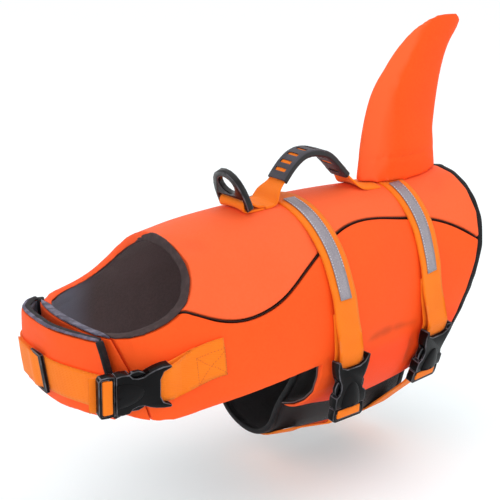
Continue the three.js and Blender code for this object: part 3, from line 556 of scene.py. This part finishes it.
def sew(name, paths, cloth, finish, pitch=0.0026, thick=0.00042):
    """Rows of stitches along paths of points near a cloth's face, each stitch seated on the face under it."""
    tree = tree_of(cloth)
    form = bmesh.new()
    for path in paths:
        left = 0.0
        for start, end in zip(path, path[1:]):
            run = end - start
            place = left
            while place < run.length:
                spot, normal, _, _ = tree.find_nearest(start + run * (place / run.length))
                ahead = (run - normal * run.dot(normal)).normalized()
                lie = Matrix((ahead, normal.cross(ahead), normal)).transposed().to_4x4()
                lie.translation = spot
                size = Matrix.Diagonal((pitch * 0.38, thick, thick, 1))
                bmesh.ops.create_icosphere(form, subdivisions=1, radius=1, matrix=lie @ size)
                place += pitch
            left = place - run.length
    mesh = bpy.data.meshes.new(name)
    form.to_mesh(mesh)
    form.free()
    return keep(name, mesh, finish)


def over_back(tree, x, degrees):
    """Where a ray from outside meets a piece, at a place along the body and an angle from the top."""
    angle = math.radians(degrees)
    way = Vector((0, math.sin(angle), math.cos(angle)))
    spot, _, _, _ = tree.ray_cast(Vector((x, 0, AXIS.z)) + way * 0.3, -way)
    return spot


for name, at, lean, top in (("front", -0.027, -0.005, 6), ("rear", 0.096, -0.010, 12)):
    for side, sign in (("left", -1), ("right", 1)):
        tape = keep(f"tape_{name}_{side}", rounded(f"reflective_tape_{name}_{side}", hold=1.0), silver.material,
                    [f"reflective_tape_{name}_{side}"])
        tree = tree_of(tape)
        rows = []
        for edge in (-0.0056, 0.0056):
            row = []
            for degrees in range(top, 66, 3):
                x = at + edge
                for _ in range(2 if side == "left" else 0):
                    spot = over_back(tree, x, sign * degrees)
                    low = min(max((-0.02 - spot.z) / 0.08, 0), 1) if spot else 0
                    x = at + edge + lean * low * low * (3 - 2 * low)
                spot = over_back(tree, x, sign * degrees)
                if spot:
                    row.append(spot)
            rows.append(row)
        sew(f"tape_stitches_{name}_{side}", rows, tape, thread.material)


# Belly straps: the same webbing, from the male buckles across the outside of the sling to where they are sewn on.
for name, at in (("front", -0.033), ("rear", 0.084)):
    strap = keep(f"belly_strap_{name}_webbing", rounded(f"belly_strap_{name}", hold=1.0), webbing,
                 [f"belly_strap_{name}"])
    weave_map(strap, lambda p, at=at: p.x - at, turned((0, -0.1), 1, 2, 0.12))


# Side-release buckles: three alike, moulded in black plastic with round edges. The female half has a smooth raised
# tongue over its mouth, and the male half's arms show in its side windows.
plastic = Finish("black plastic", 0.34, gloss=0.1)
plastic_place = plastic.place()
moulding = plastic.noise(plastic_place, 300, 3)
plastic.colour(plastic.mix(plastic.between(plastic.noise(plastic_place, 40, 2), 0.3, 0.7), paint(4, 3, 4),
                           paint(11, 10, 12)))
plastic.rough(moulding * 0.16 + 0.28)
plastic.bump(moulding, 0.00012)


# Painted highlight: a paler grey for the rounded edges of the mouldings, for the light that catches them.
edge_highlight_paint = Finish("moulded edges", 0.4, gloss=0.4)
edge_highlight_paint.colour(edge_highlight_paint.mix(edge_highlight_paint.between(edge_highlight_paint.noise(edge_highlight_paint.place(), 120, 3), 0.35, 0.65),
                                 paint(34, 33, 37), paint(84, 82, 89)))


def moulded(node, edge, finish, segments=2, reshape=None):
    """A merged copy of a hard piece's mesh with its edges rounded, and a paler finish on them as a painted highlight.
    What the solid leaves plain is reshaped, point by point."""
    form = bmesh.new()
    form.from_mesh(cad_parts[node].data)
    bmesh.ops.remove_doubles(form, verts=form.verts, dist=2e-5)
    for vertex in form.verts if reshape else ():
        vertex.co = reshape(vertex.co)
    bmesh.ops.dissolve_limit(form, angle_limit=math.radians(1.5), verts=form.verts, edges=form.edges)
    mesh = bpy.data.meshes.new(node)
    form.to_mesh(mesh)
    form.free()
    mesh.polygons.foreach_set("use_smooth", [True] * len(mesh.polygons))
    mesh.materials.append(finish)
    mesh.materials.append(edge_highlight_paint.material)
    trial = bpy.data.objects.new("trial", mesh)
    bpy.context.collection.objects.link(trial)
    bevel = trial.modifiers.new("edges", "BEVEL")
    bevel.width = edge
    bevel.segments = segments
    bevel.limit_method = "ANGLE"
    bevel.angle_limit = math.radians(28)
    bevel.harden_normals = True
    bevel.use_clamp_overlap = False
    # The rounded edges take the second finish, the painted highlight.
    bevel.material = 1
    settle(trial)
    mesh = trial.data
    bpy.data.objects.remove(trial)
    return mesh


def buckle_frame(origin, along, out):
    """Across, along and out of a buckle, from the middle of its back face."""
    along = Vector(along).normalized()
    across = along.cross(Vector(out)).normalized()
    lie = Matrix((across, along, across.cross(along))).transposed().to_4x4()
    lie.translation = Vector(origin) / 1000
    return lie


def side_frame(x, y, z, tilt, turn):
    tip, yaw = math.radians(tilt), math.radians(turn)
    return buckle_frame((x, y, z), (math.sin(yaw) * math.sin(tip), -math.cos(yaw) * math.sin(tip), math.cos(tip)),
                        (math.sin(yaw) * math.cos(tip), -math.cos(yaw) * math.cos(tip), -math.sin(tip)))


buckles = {
    "front": side_frame(-33.5, -95, -137, 6, 2),
    "rear": side_frame(85, -74.5, -140, 17, 7),
    "chest": buckle_frame((-239, -76, -90), (0.97, -0.2, 0.02), (-0.2, -0.97, -0.1)),
}
TURN = {"from": -0.0262, "to": -0.0178, "deep": 0.003, "high": 0.0089, "edge": 0.0014}
TONGUE = {"across": 0.0105, "long": 0.0225, "high": 0.0030, "mouth": -0.0150, "face": 0.0093}
COLLAR = {"front": 0.005, "mouth": 0.0245, "hollow": 0.0046, "reach": 0.014, "horn": 0.0012}


def collar(lie):
    """Hollows the female half's mouth between its horns, and draws the horns out."""
    back_to = lie.inverted()

    def shaped(point):
        p = back_to @ point
        if p.z > COLLAR["front"] and p.y > COLLAR["mouth"]:
            share = abs(p.x) / COLLAR["reach"]
            p.y += COLLAR["horn"] if share > 1 else -COLLAR["hollow"] * (1 - share * share * 0.4)
            p.z += 0.0006 if share > 1 else 0
        return lie @ p
    return shaped


for name, lie in buckles.items():
    for half, reshape in (("female", collar(lie)), ("male", None)):
        keep(f"buckle_{half}_{name}_moulding", moulded(f"buckle_{half}_{name}", 0.0007, plastic.material, 2, reshape),
             plastic.material, [f"buckle_{half}_{name}"])
    form = bmesh.new()
    bmesh.ops.create_uvsphere(form, u_segments=32, v_segments=20, radius=1)
    bmesh.ops.scale(form, vec=(TONGUE["across"], TONGUE["long"], TONGUE["high"]), verts=form.verts)
    for spot, way in (((0, 0, -0.0003), (0, 0, -1)), ((0, 0, 0), (0, -1, 0))):
        cut = bmesh.ops.bisect_plane(form, geom=[*form.verts, *form.edges, *form.faces], plane_co=spot, plane_no=way,
                                     clear_outer=True)
        bmesh.ops.holes_fill(form, edges=[e for e in cut["geom_cut"] if isinstance(e, bmesh.types.BMEdge)])
    bmesh.ops.translate(form, vec=(0, TONGUE["mouth"], TONGUE["face"]), verts=form.verts)
    bmesh.ops.transform(form, matrix=lie, verts=form.verts)
    mesh = bpy.data.meshes.new("tongue")
    form.to_mesh(mesh)
    form.free()
    keep(f"buckle_tongue_{name}", mesh, plastic.material)
    form = bmesh.new()
    wide = 0.0298 if name == "chest" else 0.0268
    bmesh.ops.create_cube(form, size=1)
    bmesh.ops.scale(form, vec=(wide, TURN["to"] - TURN["from"], TURN["high"] - TURN["deep"]), verts=form.verts)
    bmesh.ops.bevel(form, geom=[*form.verts, *form.edges], offset=TURN["edge"], offset_type="OFFSET", segments=4,
                    profile=0.5, affect="EDGES", material=-1)
    bmesh.ops.translate(form, vec=(0, (TURN["from"] + TURN["to"]) / 2, (TURN["high"] + TURN["deep"]) / 2),
                        verts=form.verts)
    bmesh.ops.transform(form, matrix=lie, verts=form.verts)
    mesh = bpy.data.meshes.new("turn")
    form.to_mesh(mesh)
    form.free()
    web_turn = keep(f"webbing_turn_{name}", mesh, webbing)
    weave_map(web_turn, lambda p, lie=lie: (lie.inverted() @ p).x, lambda p, lie=lie: sum((lie.inverted() @ p).yz))


# Spine webbing: a wide strip along the back whose front end holds the ring's bar in a loop, and whose next length rises
# as the handle. Its feet are flat and wide, and between them it is folded narrow.
for node, name in (("ring_loop", "ring_loop_webbing"), ("handle_webbing", "handle_strap_webbing")):
    strip = keep(name, rounded(node, hold=1.0), webbing, [node])
    weave_map(strip, lambda p: p.y, turned((0.005, 0), 0, 2, 0.045))
SLOT_FILL = {"above": 0.028, "half": 0.0088, "out": 0.0017}
for vertex in strip.data.vertices:
    if vertex.co.z > SLOT_FILL["above"] and abs(vertex.co.y) < SLOT_FILL["half"]:
        vertex.co += vertex.normal * SLOT_FILL["out"]


# Handle grip: a sleeve of dark rubber on the handle, with nine slots that let the webbing show.
rubber = Finish("grip rubber", 0.55)
rubber_place = rubber.place()
rubber_top = rubber.mix(rubber.between(rubber.noise(rubber_place, 90, 3), 0.3, 0.7), paint(42, 38, 46),
                        paint(60, 55, 65))
across_grip = rubber.sum("ABSOLUTE", rubber.parts(rubber_place)[1])
# The sleeve's top is coloured grey and its sides near black.
rubber.colour(rubber.mix(rubber.between(across_grip, 0.0108, 0.0117), rubber_top, paint(14, 12, 15)))
rubber.bump(rubber.noise(rubber_place, 600, 2), 0.0002)
SLOT = {"half": 0.007, "long": (0.0021, 0.0032), "wider": 0.0005}


def wider_slots(form):
    """Moves each slot's two long edges a little apart."""
    ends = [v for v in form.verts if abs(abs(v.co.y) - SLOT["half"]) < 0.0002]
    moves = []
    for vertex in ends:
        across = [w for w in ends if w.co.y * vertex.co.y > 0
                  and SLOT["long"][0] < (w.co - vertex.co).length < SLOT["long"][1]]
        if across:
            other = min(across, key=lambda w: abs((w.co - vertex.co).length - 0.0026))
            moves.append((vertex, (vertex.co - other.co).normalized() * SLOT["wider"]))
    for vertex, move in moves:
        vertex.co += move


keep("handle_grip_sleeve", rounded("handle_grip", hold=0.92, sharp=40, reshape=wider_slots), rubber.material,
     ["handle_grip"])


# Leash ring: a flat arch of glossy black moulding that swings on its straight bar in the webbing's loop.
ring_black = Finish("ring moulding", 0.22, gloss=0.3)
ring_place = ring_black.place()
ring_black.colour(ring_black.mix(ring_black.noise(ring_place, 60, 2), paint(8, 7, 8), paint(18, 17, 19)))
ring_black.rough(ring_black.noise(ring_place, 200, 3) * 0.14 + 0.16)
keep("leash_ring_moulding", moulded("d_ring", 0.0009, ring_black.material, 2), ring_black.material, ["d_ring"],
     "leash_ring")


# Fin: a thick foam blade between two orange cloths, joined by a seam round its edge and sewn down along the spine.
# What faces forward is painted lighter as a painted highlight, and the sewn line along the fin's foot is darkened with
# painted shade.
fin_cloth = coated_cloth("fin cloth", paint(255, 80, 6, 0.92), paint(255, 87, 14, 0.92), 0.7,
                         painted_front_light=paint(255, 100, 46, 0.92))
fin = keep("fin_cushion", rounded("fin", hold=0.9), fin_cloth, ["fin"])
fin_form = tree_of(fin)
grid = fin.modifiers.new("even", "REMESH")
grid.mode = "VOXEL"
grid.voxel_size = 0.0026
settle(fin)
for round_on_form in (True, True, True, False):
    form = bmesh.new()
    form.from_mesh(fin.data)
    bmesh.ops.smooth_vert(form, verts=form.verts, factor=0.5, use_axis_x=True, use_axis_y=True, use_axis_z=True)
    form.to_mesh(fin.data)
    form.free()
    for vertex in fin.data.vertices if round_on_form else ():
        vertex.co = fin_form.find_nearest(vertex.co)[0]
puff(fin, 0.003, inner=1.0, sewn_under=0.016, seam_held=True)
fold(fin, [
    [(64, -6, 16), (160, -6, 14), 1.0, 3.4], [(64, 6, 16), (160, 6, 14), 1.0, 3.4],
], into=lambda normal: normal)
refine(fin)


# Chest strap: webbing from the right side round the outer flap to the male buckle, with a slider on it. The female
# buckle hangs in a loop whose ends are sewn to the left side as one patch, with a box and a cross of stitches.
patch = keep("chest_strap_patch_webbing", rounded("chest_strap_patch", hold=1.0), webbing,
             ["chest_strap_patch"])
weave_map(patch, lambda p: p.z + 0.2 * p.x, lambda p: p.x)
chest_strap = keep("chest_strap_webbing", rounded("chest_strap", hold=1.0), webbing, ["chest_strap"])
weave_map(chest_strap, lambda p: p.z, turned((-0.15, 0), 1, 0, -0.1))
slider_lie = buckle_frame((-270.3, 12.7, -97.2), (-0.036, -0.999, 0), (-0.99, 0.03, -0.14))


def near_rail(point):
    """Makes the slider's rail towards the buckle the heavy one."""
    p = slider_lie.inverted() @ point
    if p.y > 0.005:
        p.y -= 0.0016 if p.y < 0.008 else -0.0006
        p.z += 0.0012 if p.z > -0.001 else 0
    return slider_lie @ p


keep("chest_slider_moulding", moulded("chest_slider", 0.0008, plastic.material, 3, near_rail), plastic.material,
     ["chest_slider"])
TAIL = {"from": 0.0075, "to": 0.052, "rail": 0.0207, "lie": 0.0022, "rise": 0.0022, "run": 0.006}
form = bmesh.new()
form.from_mesh(chest_strap.data)
for spot, way in (((0, TAIL["from"], 0), (0, -1, 0)), ((0, TAIL["to"], 0), (0, 1, 0))):
    cut = bmesh.ops.bisect_plane(form, geom=[*form.verts, *form.edges, *form.faces], plane_co=spot, plane_no=way,
                                 clear_outer=True)
    bmesh.ops.holes_fill(form, edges=[e for e in cut["geom_cut"] if isinstance(e, bmesh.types.BMEdge)])
for vertex in form.verts:
    over = math.exp(-((vertex.co.y - TAIL["rail"]) / TAIL["run"]) ** 2)
    vertex.co += outward(vertex.co) * (TAIL["lie"] + TAIL["rise"] * over)
mesh = bpy.data.meshes.new("tail")
form.to_mesh(mesh)
form.free()
keep("chest_strap_tail_webbing", mesh, webbing)
patch_thread = Finish("patch thread", 0.6)
patch_thread.colour(patch_thread.mix(patch_thread.noise(patch_thread.place(), 800, 1), paint(214, 92, 12),
                                     paint(190, 78, 8)))
BOX = {"from": -0.157, "to": -0.182, "across": 0.0125}


def patch_point(x, up):
    """A place on the patch: along the body, and up from the webbing's middle line."""
    low = min(max((-x - 0.155) / 0.06, 0), 1)
    middle = -0.082 - 0.008 * low * low * (3 - 2 * low)
    return Vector((x, -0.11, middle + up))


corners = [patch_point(BOX["from"], BOX["across"]), patch_point(BOX["to"], BOX["across"]),
           patch_point(BOX["to"], -BOX["across"]), patch_point(BOX["from"], -BOX["across"])]
sew("patch_stitches", [[*corners, corners[0]], [corners[0], corners[2]], [corners[1], corners[3]]], patch,
    patch_thread.material, 0.0024, 0.0003)


# Floor and light: a plain pale floor a little way under the jacket, a large soft light over it and two at the sides.
floor_form = bmesh.new()
bmesh.ops.create_grid(floor_form, x_segments=2, y_segments=2, size=6)
bmesh.ops.translate(floor_form, vec=(0, 0, -0.252), verts=floor_form.verts)
floor_mesh = bpy.data.meshes.new("floor")
floor_form.to_mesh(floor_mesh)
floor_form.free()
floor = bpy.data.objects.new("floor", floor_mesh)
bpy.context.collection.objects.link(floor)
floor_finish = Finish("pale floor", 0.9)
floor_finish.shader.inputs["Base Color"].default_value = (0.86, 0.92, 0.94, 1)
floor_finish.shader.inputs["Emission Color"].default_value = (1, 1, 1, 1)
floor_finish.shader.inputs["Emission Strength"].default_value = 0.12
floor_mesh.materials.append(floor_finish.material)

world = bpy.data.worlds.new("studio")
world.use_nodes = True
world.node_tree.nodes["Background"].inputs["Color"].default_value = (1, 1, 1, 1)
world.node_tree.nodes["Background"].inputs["Strength"].default_value = 1.0
bpy.context.scene.world = world
LIGHTS = [
    {"name": "top", "place": (0.05, -0.1, 1.4), "size": 1.6, "power": 5},
    {"name": "front", "place": (-1.3, -1.2, 0.7), "size": 1.2, "power": 5},
    {"name": "side", "place": (1.2, -1.3, 0.6), "size": 1.0, "power": 2},
]
for light in LIGHTS:
    lamp = bpy.data.lights.new(light["name"], "AREA")
    lamp.size = light["size"]
    lamp.energy = light["power"]
    holder = bpy.data.objects.new(light["name"], lamp)
    bpy.context.collection.objects.link(holder)
    holder.location = light["place"]
    aim = Vector((-0.03, 0, -0.08)) - holder.location
    holder.rotation_euler = aim.to_track_quat("-Z", "Y").to_euler()
bpy.context.scene.view_settings.view_transform = "Standard"
